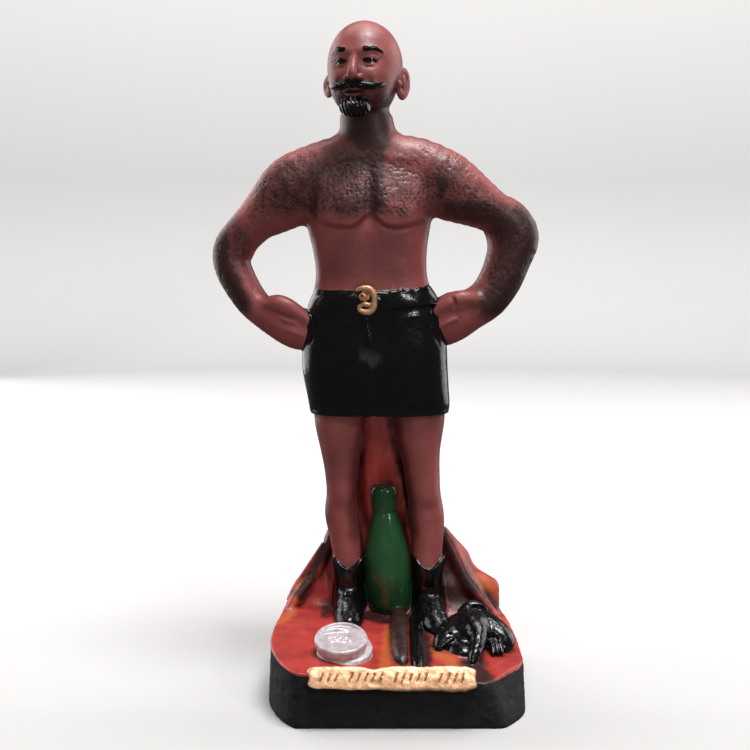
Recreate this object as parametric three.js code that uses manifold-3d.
// A small painted plaster statue, cast as one piece. A bald man with a thick moustache and a chin beard
// stands bare-chested with his fists on his hips, in belted shorts and short boots. Flames rise behind his
// legs, and a bottle, a round tin, a black bird, two bars and a name strip lie around his feet.
// Millimetres. X runs to the viewer's right, Y to the back and Z up, from the middle of the underside.
// The figure's own right side is the one at minus X.
import * as THREE from 'three';
import { mergeVertices } from 'three/addons/utils/BufferGeometryUtils.js';
import Module from 'manifold-3d';

const wasm = await Module();
wasm.setup();

// Driving dimensions
const BASE_HALF_WIDTH = 57;
const BASE_HALF_DEPTH = 49;
const BASE_CORNER = 15;
const BASE_DRAFT = 0.985;
const BASE_BEVEL = 1.2;
const BASE_RISE = 21.5;
const BASE_SLOPE_ACROSS = -0.055;
const BASE_SLOPE_BACK = 0.06;
// The plane that takes off the upper edge of the base's front corner at the figure's left
const CORNER_FACING = [0.795, -0.607, 0.335];
const CORNER_DISTANCE = 61.6;
const HEAD_CENTRE = [-15, 25, 280.4];
const HEAD_HALF_WIDTH = 16.8;
const HEAD_FRONT = 19.2;
const HEAD_BACK = 20.6;
const HEAD_UP = 20.2;
const HEAD_DOWN = 22.2;
const HEAD_TURN_DEG = -15;
const HEAD_LIFT_DEG = -4;
const PEC_LINE = 209.5;
const BREASTBONE_X = -12.6;
const HEM_HEIGHT = 122.5;
const BELT_TILT = 0.085;
const BUCKLE_CENTRE = [-14.5, 9.2, 176];
const BUCKLE_HALF_WIDTH = 4.4;
const BUCKLE_HALF_HEIGHT = 5.8;
const EAR_LINE = -7.6;
const BOOT_TOP = 53.6;
const BOOT_DIP = 5;
const BOTTLE_FOOT = [-3.2, 29, 23.4];
const BOTTLE_LEAN_DEG = -3;
const TIN_CENTRE = [-23.6, -25.5, 24.2];
const TIN_RADIUS = 12;
const TIN_TILT_DEG = 16;
const TIN_LUMPS = 4;
const STRIP_LENGTH = 72;
const STRIP_WIDTH = 10.4;
const STRIP_THICK = 3.2;
const STRIP_CENTRE = [-2.8, -47.4, 21.2];
const STRIP_LEAN_DEG = -38;

// A ring of a limb: its middle, half its width, half its depth, and how square it is (2 is an ellipse).
const ring = (x, y, z, wide, deep = wide, square = 2) => ({ x, y, z, wide, deep, square });

const smooth = (from, to, value) => THREE.MathUtils.smoothstep(value, from, to);
const hill = (distance, spread) => Math.exp(-((distance / spread) ** 2));
const baseTop = (x, y) => BASE_RISE + BASE_SLOPE_ACROSS * x + BASE_SLOPE_BACK * (y + BASE_HALF_DEPTH);

// Moves every vertex of a geometry to where place() puts it.
function reshape(geometry, place) {
  const position = geometry.attributes.position;
  const point = new THREE.Vector3();
  for (let i = 0; i < position.count; i += 1) {
    point.fromBufferAttribute(position, i);
    place(point);
    position.setXYZ(i, point.x, point.y, point.z);
  }
  return geometry;
}

// A closed geometry as a solid: vertices at one place are merged, and triangles without area are left out.
function solid(geometry) {
  geometry.deleteAttribute('normal');
  geometry.deleteAttribute('uv');
  const merged = mergeVertices(geometry, 1e-3);
  const index = merged.index.array;
  const kept = [];
  for (let i = 0; i < index.length; i += 3) {
    const [a, b, c] = index.slice(i, i + 3);
    if (a !== b && b !== c && c !== a) {
      kept.push(a, b, c);
    }
  }
  const vertProperties = new Float32Array(merged.attributes.position.array);
  const mesh = new wasm.Mesh({ numProp: 3, vertProperties, triVerts: new Uint32Array(kept) });
  return new wasm.Manifold(mesh);
}

const joined = (solids) => solids.reduce((whole, piece) => whole.add(piece));

// A closed body along a run of rings, with `steps` spans between two of them. Each ring is square to the
// run, or level, its width lies across `facing`, and relief() may move a finished point.
function limb(rings, { around = 14, steps = 1, facing = [0, -1, 0], level = false, relief = null } = {}) {
  const middles = rings.map(({ x, y, z }) => new THREE.Vector3(x, y, z));
  const sizes = rings.map(({ wide, deep, square }) => new THREE.Vector3(wide, deep, square));
  const run = new THREE.CatmullRomCurve3(middles, false, 'catmullrom');
  const size = new THREE.CatmullRomCurve3(sizes, false, 'catmullrom');
  const front = new THREE.Vector3(...facing);
  const geometry = new THREE.CylinderGeometry(1, 1, 1, around, (rings.length - 1) * steps);
  return solid(reshape(geometry, (point) => {
    const along = THREE.MathUtils.clamp(0.5 - point.y, 0, 1);
    const middle = run.getPoint(along);
    const { x: wide, y: deep, z: square } = size.getPoint(along);
    const axis = level ? new THREE.Vector3(0, 0, 1) : run.getTangent(along).negate();
    const depth = front.clone().addScaledVector(axis, -front.dot(axis)).normalize();
    const side = new THREE.Vector3().crossVectors(axis, depth);
    const radius = Math.hypot(point.x, point.z);
    const across = radius ? point.x / radius : 0;
    const forth = radius ? point.z / radius : 0;
    const power = Math.abs(across) ** square + Math.abs(forth) ** square;
    const corner = radius / (power || 1) ** (1 / square);
    point.copy(middle);
    point.addScaledVector(side, across * wide * corner);
    point.addScaledVector(depth, forth * deep * corner);
    if (relief) {
      relief(point);
    }
  }));
}

// A stretched ball, turned about X, then Y, then Z.
function ball(x, y, z, [wide, deep, tall], { around = 12, rows = 8, turn = [0, 0, 0] } = {}) {
  const geometry = new THREE.SphereGeometry(1, around, rows);
  geometry.rotateX(Math.PI / 2);
  geometry.scale(wide, deep, tall);
  const [aboutX, aboutY, aboutZ] = turn.map(THREE.MathUtils.degToRad);
  geometry.rotateX(aboutX).rotateY(aboutY).rotateZ(aboutZ).translate(x, y, z);
  return solid(geometry);
}

const TORSO = [
  ring(-14.2, 27.5, 257, 10.6, 10.8),
  ring(-13.6, 28, 250, 13.4, 11.6),
  ring(-13, 28, 244, 21.5, 12.2),
  ring(-13.5, 27.5, 238, 28, 13.4),
  ring(-13.5, 27, 231, 31, 15.4, 2.2),
  ring(-13.5, 26.5, 223, 31, 17, 2.3),
  ring(-13.5, 26.2, 214.5, 29.5, 17.4, 2.4),
  ring(-13.4, 26, 210, 28.5, 17, 2.4),
  ring(-13.3, 26, 206.4, 27.8, 16.6, 2.4),
  ring(-13.2, 26, 202, 27, 16.2, 2.4),
  ring(-12.6, 26, 195, 25.9, 15.8, 2.4),
  ring(-12.1, 26, 186, 25.7, 15.2, 2.4),
  ring(-11.7, 26, 178, 26.9, 15.2, 2.4),
  ring(-11.4, 26, 170, 23, 12, 2.4),
];
const SHORTS = [
  ring(-12.4, 26, 180, 26.6, 16.2, 2.4),
  ring(-12.3, 26, 179.2, 27.4, 17.4, 2.4),
  ring(-11.3, 26, 171.2, 31.2, 18.9, 2.4),
  ring(-11.3, 26, 170.2, 30.4, 17.8, 2.4),
  ring(-10.9, 26.3, 162, 32.4, 19, 2.4),
  ring(-10.7, 26.8, 153, 33.6, 20.2, 2.5),
  ring(-10.4, 27, 143, 33.8, 20.2, 2.5),
  ring(-9.4, 27, 134, 33.4, 19, 2.5),
  ring(-8.5, 27, 126.5, 32.9, 18, 2.5),
  ring(-8.4, 27, 123.4, 32.4, 17.6, 2.5),
  ring(-8.4, 27, HEM_HEIGHT, 30.6, 16, 2.5),
];
const RIGHT_LEG = [
  ring(-26.6, 28, 130, 12.6, 12.4),
  ring(-27, 28, 118, 11.9, 12),
  ring(-26.6, 28, 104, 9.5, 10.6),
  ring(-26.2, 28, 92, 7.7, 9),
  ring(-26.3, 28.6, 84, 7.2, 8.4),
  ring(-26.6, 29.6, 73, 7.7, 8.6),
  ring(-24.9, 29.4, 62, 7.3, 7.6),
  ring(-23.5, 29, 52, 6.9, 6.8),
  ring(-23, 29, 40, 6.2, 6.4),
];
const LEFT_LEG = [
  ring(9.8, 28, 130, 12.8, 12.6),
  ring(10, 28, 118, 12.1, 12.2),
  ring(10.6, 28, 104, 9.6, 10.8),
  ring(11.8, 28, 92, 8.3, 9.2),
  ring(12.6, 28.4, 84, 8, 8.8),
  ring(14, 29.2, 73, 8.4, 9),
  ring(14.6, 28.8, 62, 7.6, 8),
  ring(14.4, 28, 52, 6.9, 7),
  ring(14.6, 27, 40, 6.2, 6.6),
];
const RIGHT_ARM = [
  ring(-22, 28, 241, 10, 10.6),
  ring(-35, 27.6, 234.6, 12.8, 12),
  ring(-47.4, 27.4, 225.6, 16, 13.4),
  ring(-56.4, 28, 218.4, 13, 12),
  ring(-64, 28.8, 212.6, 10.2, 10.4),
  ring(-71.4, 29.8, 205.4, 9.2, 9.4),
  ring(-75.8, 30.2, 199, 9.5, 9.2),
  ring(-77, 29.8, 192.4, 8.7, 8.8),
  ring(-73.8, 28.6, 184.2, 8.2, 8.6),
  ring(-67.6, 26, 174.6, 7.5, 7.6),
  ring(-60.8, 24, 168.8, 7.4, 7),
  ring(-53.6, 23.2, 165.8, 9.2, 7.6),
  ring(-46.6, 23, 162.4, 9.8, 7.8),
  ring(-40, 23.6, 159.8, 8.6, 7.2),
];
const LEFT_ARM = [
  ring(-6, 28, 241, 10, 10.6),
  ring(8.8, 27.6, 236.2, 13, 12),
  ring(21.6, 27.4, 227.8, 15.4, 13.6),
  ring(33.6, 28, 221.3, 12.2, 12.2),
  ring(44.2, 29, 215.2, 9.8, 11),
  ring(50, 29.6, 210.8, 11.2, 10.8),
  ring(53.4, 29.8, 203.6, 12.1, 10.8),
  ring(51.6, 29.2, 194.6, 10.5, 10.4),
  ring(47.6, 27.8, 184.4, 9.9, 9.8),
  ring(41.8, 25.8, 176, 9.4, 8.8),
  ring(34.2, 24, 171, 9.5, 8),
  ring(27, 23.2, 168.2, 11.2, 8.2),
  ring(20.4, 23.2, 164.6, 10.8, 8),
  ring(14, 24, 162, 9, 7),
];
const RIGHT_THUMB = [
  ring(-61.4, 19.6, 173.2, 2.8),
  ring(-55, 17, 174.8, 3.6),
  ring(-48.4, 16.2, 172.2, 3.4),
  ring(-42, 17, 167.4, 2.8),
];
const LEFT_THUMB = [
  ring(36, 17.8, 176, 3),
  ring(29, 15.8, 176.6, 3.8),
  ring(22, 16, 174, 3.4),
  ring(16.6, 17, 170, 2.6),
];
const RIGHT_KNUCKLES = [
  ring(-55.6, 16.6, 166, 2.2),
  ring(-50, 14.8, 165, 3),
  ring(-42, 16, 160.6, 2.6),
];
const LEFT_KNUCKLES = [
  ring(29.6, 16, 167.4, 2.6),
  ring(24, 14.6, 166, 3.4),
  ring(16.6, 16, 161.6, 2.8),
];
const NECK = [
  ring(-15, 25, 267, 9, 8),
  ring(-14.6, 26.6, 260, 10.9, 11),
  ring(-14.1, 27.4, 253, 11.4, 11.6),
  ring(-13.6, 28, 245, 14, 11),
];
const MOUND = [
  ring(-8.6, 35, 132, 7, 4.6),
  ring(-8.4, 36, 118, 10, 6),
  ring(-7.8, 37.6, 102, 12.4, 6.8),
  ring(-6.8, 39.4, 86, 14.4, 6.6),
  ring(-6, 40.4, 72, 20, 6.4),
  ring(-4.4, 40.6, 62, 29.4, 6.4),
  ring(-1.4, 40.6, 52, 35.8, 6.8, 2.2),
  ring(-1.4, 39.6, 43, 41.4, 7.8, 2.4),
  ring(-0.2, 38.4, 38, 48.6, 8.8, 3),
  ring(-0.8, 37.4, 31, 50.6, 9.8, 3.4),
  ring(-1.6, 35, 25, 51.2, 12, 3.4),
  ring(-1.6, 34, 14, 51.2, 12, 3.4),
];
const BOTTLE_PROFILE = [
  [0, 1], [9.6, 1], [10, 4], [10.6, 12], [11.1, 20], [11, 27], [9.6, 36], [7.6, 44.5], [6.2, 50],
  [5.4, 51], [6.1, 52], [6.3, 56], [6.1, 61.4], [5, 63.2], [0, 63.6],
];

// The chest: an overhang under each breast, valleys down the breastbone and the spine, and shoulder blades.
function chestRelief(point) {
  const x = point.x - BREASTBONE_X;
  const spread = Math.abs(Math.abs(x) - 13.5);
  if (point.y < 22) {
    const line = PEC_LINE - 1.2 + 3.4 * hill(x, 7) + 0.012 * spread * spread;
    const breast = smooth(line - 2.5, line + 2.5, point.z) * (1 - smooth(line + 6, line + 28, point.z));
    const across = (1 - 0.9 * hill(x, 4)) * (1 - smooth(22, 27, Math.abs(x)));
    point.y -= 2.6 * breast * across;
    point.y += 0.9 * hill(x, 3) * smooth(206, 212, point.z) * (1 - smooth(232, 242, point.z));
  }
  if (point.y > 32) {
    const blade = hill(spread, 9) * hill(point.z - 224, 15);
    const spine = hill(x, 5) * smooth(176, 190, point.z) * (1 - smooth(236, 246, point.z));
    point.y += 1.8 * blade - 1.8 * spine;
  }
}

// The shorts: a belt line that drops to the figure's right, a crease down the front, the seat and its cleft.
function shortsRelief(point) {
  const x = point.x + 9.6;
  point.z += BELT_TILT * x * smooth(150, 172, point.z);
  if (point.y < 20) {
    point.y += 1.6 * hill(x, 4.5) * (1 - smooth(136, 154, point.z));
    point.y += 0.8 * hill(x, 14) * hill(point.z - 166, 8);
  }
  if (point.y > 34) {
    point.y += 2.6 * hill(Math.abs(x) - 13, 10) * hill(point.z - 148, 13);
    point.y -= 3 * hill(x, 4) * (1 - smooth(158, 170, point.z));
  }
}

// The flames behind the legs: upright tongues and hollows that run up the mound.
function moundRelief(point) {
  const away = smooth(26, 44, point.z) * (1 - smooth(84, 104, point.z));
  const tongues = Math.cos(point.x * 0.42 + 0.06 * point.z);
  const hollows = Math.cos(point.x * 0.23 - 0.05 * point.z + 1);
  point.y += 0.9 * away * (tongues + 0.6 * hollows) * Math.sign(point.y - 36);
}

// The head is a ball that is reshaped around its own middle, with the face towards minus Y.
function skull() {
  const geometry = new THREE.SphereGeometry(1, 24, 16);
  geometry.rotateX(Math.PI / 2);
  return solid(reshape(geometry, (point) => {
    const low = smooth(-0.05, 1, -point.z);
    const front = point.y < 0;
    const wide = HEAD_HALF_WIDTH - 2.2 * low;
    const deep = front ? HEAD_FRONT - 1.2 * low : HEAD_BACK - 9 * low;
    const tall = point.z < 0 ? HEAD_DOWN : HEAD_UP;
    const square = 2 + low * (0.7 + 0.5 * smooth(0, 0.6, -point.y));
    const parts = [point.x / wide, point.y / deep, point.z / tall];
    const reach = parts.reduce((sum, part) => sum + Math.abs(part) ** square, 0) ** (-1 / square);
    point.multiplyScalar(reach);
    if (front) {
      const ahead = smooth(4, 12, -point.y);
      const side = Math.abs(point.x);
      const socket = hill(side - 6.2, 4) * hill(point.z + 1, 3.4);
      const brow = hill(side - 6, 6) * hill(point.z - 3.6, 2.4);
      const cheek = hill(side - 9.5, 4.5) * hill(point.z + 6, 4.5);
      const muzzle = hill(side, 6.5) * hill(point.z + 13.4, 4.5);
      const chin = hill(side, 5) * hill(point.z + 20.4, 3);
      point.y += ahead * (2.4 * socket - 0.9 * brow - 0.7 * cheek - 1.2 * muzzle - 1.8 * chin);
    }
  }));
}

// The ears stand out backwards. The head's turn shows the left one broadly, so it lies closer to the head.
function ear(side) {
  const spread = side < 0 ? 46 : 26;
  const [x, y] = side < 0 ? [-17.4, 2] : [17, 3];
  const height = side < 0 ? 5.4 : 7.4;
  const lean = { around: 7, rows: 5, turn: [-8, 0, -side * spread] };
  const shell = ball(x, y, EAR_LINE, [2, 4.6, height], lean);
  const dish = ball(x + side * 1.3, y - 1.7, EAR_LINE + 0.6, [1.5, 3, height - 2.4], lean);
  return shell.subtract(dish);
}

function face() {
  const nose = limb([
    ring(0, -15.6, 4, 1.6, 1.4),
    ring(0, -17.8, 1.4, 1.6, 1.6),
    ring(0, -20.6, -4.4, 2, 2),
    ring(0, -21.6, -7.4, 2.7, 2.3),
    ring(0, -20.2, -9.6, 3, 1.4),
  ], { around: 8 });
  const pieces = [nose];
  for (const side of [-1, 1]) {
    pieces.push(ball(side * 2.7, -18.8, -8.4, [1.7, 2.4, 1.6], { around: 6, rows: 4 }));
    const turn = [0, 0, side * 14];
    pieces.push(ball(side * 6.1, -14.9, -1.2, [3.3, 2.2, 1.8], { around: 8, rows: 6, turn }));
    pieces.push(limb([
      ring(side * 2.2, -17.6, 2.6, 0.7, 0.7),
      ring(side * 6, -17.6, 4, 1.2, 1),
      ring(side * 11, -13.8, 2.6, 0.6, 0.6),
    ], { around: 6 }));
    pieces.push(limb([
      ring(side * 0.9, -19.2, -11.2, 0.9, 1.2),
      ring(side * 4.6, -18.4, -11.8, 1.6, 1.8),
      ring(side * 9, -15.6, -11.4, 1.5, 1.8),
      ring(side * 12, -12, -10.2, 0.5, 0.8),
    ], { around: 6 }));
    pieces.push(ear(side));
  }
  pieces.push(ball(0, -18.3, -13.4, [4.6, 2, 1.1], { around: 8, rows: 4 }));
  pieces.push(ball(0, -17.9, -15.2, [3.9, 2, 1.2], { around: 8, rows: 4 }));
  pieces.push(ball(0, -14.4, -19.8, [7, 5.4, 4], { around: 10, rows: 6, turn: [16, 0, 0] }));
  return pieces;
}

function head() {
  return joined([skull(), ...face()])
    .rotate([HEAD_LIFT_DEG, 0, HEAD_TURN_DEG])
    .translate(HEAD_CENTRE);
}

// A short boot: the shaft with its scalloped top, dipped in front and behind, and the foot.
function boot(shaftX, shaftY, toeX, toeY, footZ) {
  const shaft = limb([
    ring(shaftX, shaftY, BOOT_TOP, 7.9, 8.2),
    ring(shaftX, shaftY, BOOT_TOP - 6, 7.4, 8),
    ring(shaftX, shaftY + 0.4, BOOT_TOP - 13, 7, 7.8),
    ring(shaftX, shaftY + 1, BOOT_TOP - 21, 7.2, 8.4),
    ring(shaftX, shaftY + 1.4, BOOT_TOP - 32, 7.6, 8.8),
  ], {
    around: 14,
    level: true,
    relief: (point) => {
      const turn = Math.atan2(point.x - shaftX, point.y - shaftY);
      const dip = Math.abs(Math.cos(turn)) ** 3;
      point.z -= BOOT_DIP * dip * smooth(BOOT_TOP - 10, BOOT_TOP, point.z);
    },
  });
  const heelX = shaftX - (toeX - shaftX) * 0.22;
  const foot = limb([
    ring(heelX, 40, footZ + 2, 3.6, 6),
    ring(heelX, 37, footZ + 3, 6.2, 8),
    ring(shaftX, 28, footZ + 4, 7.4, 9),
    ring((shaftX + toeX) / 2, (28 + toeY) / 2, footZ + 1.5, 7.2, 7.2),
    ring(toeX, toeY + 5, footZ, 6.2, 5.2),
    ring(toeX, toeY + 1, footZ - 0.5, 3.4, 3.4),
    ring(toeX, toeY, footZ - 0.6, 1.4, 1.4),
  ], { around: 10, facing: [0, 0, 1] });
  return shaft.add(foot);
}

// The base: a low block with cut front corners, a little narrower above, and a top that rises to the right
// hand of the figure and to the back. The other front corner leans back.
function base() {
  const w = BASE_HALF_WIDTH;
  const d = BASE_HALF_DEPTH;
  const c = BASE_CORNER;
  const outline = new THREE.Shape();
  outline.moveTo(-w + c - 2, -d);
  outline.lineTo(w - c + 4, -d);
  outline.quadraticCurveTo(w - 5, -d + 3, w - 2.5, -d + 17);
  outline.quadraticCurveTo(w - 0.4, -d + 34, w - 3, 20);
  outline.quadraticCurveTo(w - 5, d - 4, w - c, d);
  outline.lineTo(-w + c, d);
  outline.quadraticCurveTo(-w + 3, d - 4, -w + 2.4, 22);
  outline.quadraticCurveTo(-w - 2.8, -8, -w + 0.4, -d + 24);
  outline.quadraticCurveTo(-w + 5.5, -d + 6, -w + c - 2, -d);
  const geometry = new THREE.ExtrudeGeometry(outline, {
    depth: 1,
    bevelEnabled: true,
    bevelThickness: BASE_BEVEL,
    bevelSize: BASE_BEVEL,
    bevelOffset: -BASE_BEVEL,
    bevelSegments: 1,
    curveSegments: 5,
  });
  const block = solid(reshape(geometry, (point) => {
    const upper = point.z > 0.5;
    const over = upper ? point.z - 1 - BASE_BEVEL : point.z + BASE_BEVEL;
    if (upper) {
      point.x *= BASE_DRAFT;
      point.y *= BASE_DRAFT;
    }
    point.z = upper ? baseTop(point.x, point.y) + over : over;
  }));
  return block.trimByPlane(CORNER_FACING.map((part) => -part), -CORNER_DISTANCE);
}

function bottle() {
  const profile = BOTTLE_PROFILE.map(([radius, height]) => new THREE.Vector2(radius, height));
  const geometry = new THREE.LatheGeometry(profile, 14);
  geometry.rotateX(Math.PI / 2).rotateY(THREE.MathUtils.degToRad(BOTTLE_LEAN_DEG)).translate(...BOTTLE_FOOT);
  return solid(geometry);
}

// The tin lies tilted towards the front, its lid a little off its body, with small lumps on the lid.
function tin() {
  const body = new THREE.LatheGeometry([
    new THREE.Vector2(0, -5),
    new THREE.Vector2(TIN_RADIUS - 1, -5),
    new THREE.Vector2(TIN_RADIUS, -1),
    new THREE.Vector2(TIN_RADIUS, 2.8),
    new THREE.Vector2(TIN_RADIUS - 0.9, 3.5),
    new THREE.Vector2(0, 3.6),
  ], 14);
  const lid = new THREE.LatheGeometry([
    new THREE.Vector2(0, 2),
    new THREE.Vector2(TIN_RADIUS - 1.6, 2),
    new THREE.Vector2(TIN_RADIUS - 0.9, 4.2),
    new THREE.Vector2(TIN_RADIUS - 0.6, 7),
    new THREE.Vector2(TIN_RADIUS - 1.4, 7.8),
    new THREE.Vector2(TIN_RADIUS - 2.6, 7.3),
    new THREE.Vector2(0, 7.2),
  ], 14);
  lid.translate(0, 0, 0.5);
  const lidX = -1.6;
  const pieces = [solid(body.rotateX(Math.PI / 2)), solid(lid.rotateX(Math.PI / 2).translate(lidX, 0, 0))];
  for (let i = 0; i < TIN_LUMPS; i += 1) {
    const turn = (i / TIN_LUMPS) * Math.PI * 2;
    const lumpX = lidX + 4 * Math.cos(turn);
    const lumpY = 2.8 * Math.sin(turn);
    pieces.push(ball(lumpX, lumpY, 7, [1.7, 1.3, 1.1], { around: 6, rows: 4 }));
  }
  return joined(pieces).rotate([TIN_TILT_DEG, 0, 0]).translate(TIN_CENTRE);
}

// The black bird lies on its belly: its head down in front, its wings out and its tail arched behind.
function bird() {
  const up = [0, 0, 1];
  const body = ball(33, -6, 27, [11, 10, 7.6], { around: 10, rows: 6 });
  const neck = limb([
    ring(33, 2, 31, 7, 5),
    ring(33.6, -5, 31.4, 7, 5),
    ring(34.6, -12, 29.6, 5.4, 4.6),
    ring(35, -17, 27.6, 4, 4),
    ring(34, -22, 25.4, 3.2, 3.4),
    ring(32.8, -26, 23.4, 2.8, 2.8),
    ring(31.6, -29, 21.6, 1.4, 1.6),
  ], { around: 8, facing: up });
  const rightWing = limb([
    ring(29, -2.4, 30.2, 6.5, 4.4),
    ring(24.8, -7, 28.8, 7, 3.8),
    ring(21, -11.5, 26.6, 5.6, 3.4),
    ring(18.6, -15.4, 24.4, 3.2, 2.6),
    ring(17.4, -18, 22.8, 1, 1.2),
  ], { around: 6, facing: up });
  const leftWing = limb([
    ring(38, -1, 31, 6, 4.6),
    ring(42, -4.5, 29.4, 6.2, 4.2),
    ring(45.6, -8.4, 27, 5.6, 4),
    ring(48, -11.4, 24.6, 4.4, 3.4),
    ring(49, -13, 23, 2.4, 2.2),
  ], { around: 6, facing: up });
  const tail = limb([
    ring(29.6, 2, 34, 2.2, 2.6),
    ring(32.6, 3.6, 36, 2.4, 2.8),
    ring(36, 3.6, 36, 2.4, 2.8),
    ring(39.4, 1.6, 33.8, 2.4, 2.6),
    ring(42, -1.6, 30.6, 2, 2.2),
  ], { around: 6 });
  const pieces = [body, neck, rightWing, leftWing, tail];
  for (let toe = 0; toe < 3; toe += 1) {
    pieces.push(ball(41.2 + 2 * toe, -15.6 + 0.4 * toe, 23, [1.3, 4.6, 2.4], { around: 6, rows: 4 }));
  }
  return joined(pieces);
}

function bars() {
  const first = limb([
    ring(0.6, 24, 27, 3.2, 3.4),
    ring(0.6, 10, 26.4, 4.2, 3.8),
    ring(0.2, -10, 25.4, 3.8, 3.8),
    ring(0.2, -24, 24.4, 3.6, 3.6),
    ring(0.8, -30, 23.8, 2.8, 3),
    ring(1, -32.6, 23.4, 1, 1.2),
  ], { around: 8, facing: [0, 0, 1] });
  const second = limb([
    ring(8.6, 22, 25.4, 2.6, 3),
    ring(8.2, 4, 25, 3.2, 3),
    ring(7.6, -20, 23.4, 3, 3),
    ring(7.4, -34, 22.4, 2.8, 2.6),
    ring(7.6, -39.4, 21.4, 1.2, 1.2),
  ], { around: 6, facing: [0, 0, 1] });
  return first.add(second);
}

// The name strip leans on the front edge, with uneven long sides, narrower ends and a bare face.
function nameStrip() {
  const geometry = new THREE.BoxGeometry(STRIP_LENGTH, STRIP_THICK, STRIP_WIDTH, 12, 1, 2);
  reshape(geometry, (point) => {
    const end = smooth(STRIP_LENGTH / 2 - 5, STRIP_LENGTH / 2, Math.abs(point.x));
    point.z *= 1 - 0.16 * end;
    point.z += 0.35 * Math.sin(point.x * 0.32) * Math.sign(point.z);
    point.y *= 1 - 0.3 * Math.abs(point.z / STRIP_WIDTH) * 2;
  });
  geometry.rotateX(THREE.MathUtils.degToRad(STRIP_LEAN_DEG)).translate(...STRIP_CENTRE);
  return solid(geometry);
}

// The buckle: an open frame with a knob, on the front of the belt.
function buckle() {
  const frame = new THREE.Shape();
  frame.absellipse(0, 0, BUCKLE_HALF_WIDTH, BUCKLE_HALF_HEIGHT, 0, Math.PI * 2);
  const geometry = new THREE.ExtrudeGeometry(frame, {
    depth: 1.6,
    bevelSize: 0.6,
    bevelThickness: 0.6,
    bevelSegments: 1,
    curveSegments: 8,
  });
  const [x, y, z] = BUCKLE_CENTRE;
  geometry.rotateX(Math.PI / 2).translate(x, y, z);
  const window = ball(x - 0.9, y - 3.6, z, [2.4, 2.4, 3.6], { around: 10, rows: 6 });
  const knob = ball(x - 1.1, y - 1.8, z + 1.2, [1.6, 1.8, 1.6], { around: 8, rows: 6 });
  return solid(geometry).subtract(window).add(knob);
}

// Thick dark ridges that run down the sides of the mound like roots.
function ridges() {
  const right = limb([
    ring(-31.5, 38, 62, 1.6, 2.4),
    ring(-34.6, 35.4, 52, 2.6, 3),
    ring(-40.8, 32, 42, 2.8, 3),
    ring(-48, 26.4, 33, 2.6, 3),
    ring(-52.4, 22, 26.6, 1.4, 2),
  ], { around: 6 });
  const left = limb([
    ring(23, 37.6, 62, 1.6, 2.4),
    ring(28, 35, 51, 2.8, 3),
    ring(33, 30.6, 41, 3, 3.2),
    ring(40, 25, 32.4, 2.8, 3),
    ring(47, 20, 25.4, 1.4, 2),
  ], { around: 6 });
  return right.add(left);
}

function statue() {
  return joined([
    base(),
    limb(MOUND, { around: 22, level: true, relief: moundRelief }),
    ridges(),
    limb(RIGHT_LEG, { around: 12, level: true }),
    limb(LEFT_LEG, { around: 12, level: true }),
    boot(-23, 28.4, -22.6, 4, 27),
    boot(15, 27.6, 18.2, 1.5, 24.6),
    limb(TORSO, { around: 24, level: true, relief: chestRelief }),
    limb(SHORTS, { around: 24, level: true, relief: shortsRelief }),
    buckle(),
    limb(RIGHT_ARM, { around: 12 }),
    limb(LEFT_ARM, { around: 12 }),
    limb(RIGHT_THUMB, { around: 6 }),
    limb(LEFT_THUMB, { around: 6 }),
    limb(RIGHT_KNUCKLES, { around: 6 }),
    limb(LEFT_KNUCKLES, { around: 6 }),
    limb(NECK, { around: 14 }),
    head(),
    bottle(),
    tin(),
    bird(),
    bars(),
    nameStrip(),
  ]);
}

function meshOf(name, whole, material) {
  const { vertProperties, triVerts } = whole.getMesh();
  const geometry = new THREE.BufferGeometry();
  geometry.setAttribute('position', new THREE.BufferAttribute(new Float32Array(vertProperties), 3));
  geometry.setIndex(new THREE.BufferAttribute(new Uint32Array(triVerts), 1));
  geometry.computeVertexNormals();
  const mesh = new THREE.Mesh(geometry, material);
  mesh.name = name;
  return mesh;
}

const paintedPlaster = new THREE.MeshStandardMaterial({ color: 0x6e3a33, roughness: 0.45, metalness: 0 });
const group = new THREE.Group();
group.add(meshOf('spirit_statue', statue(), paintedPlaster));

export default group;
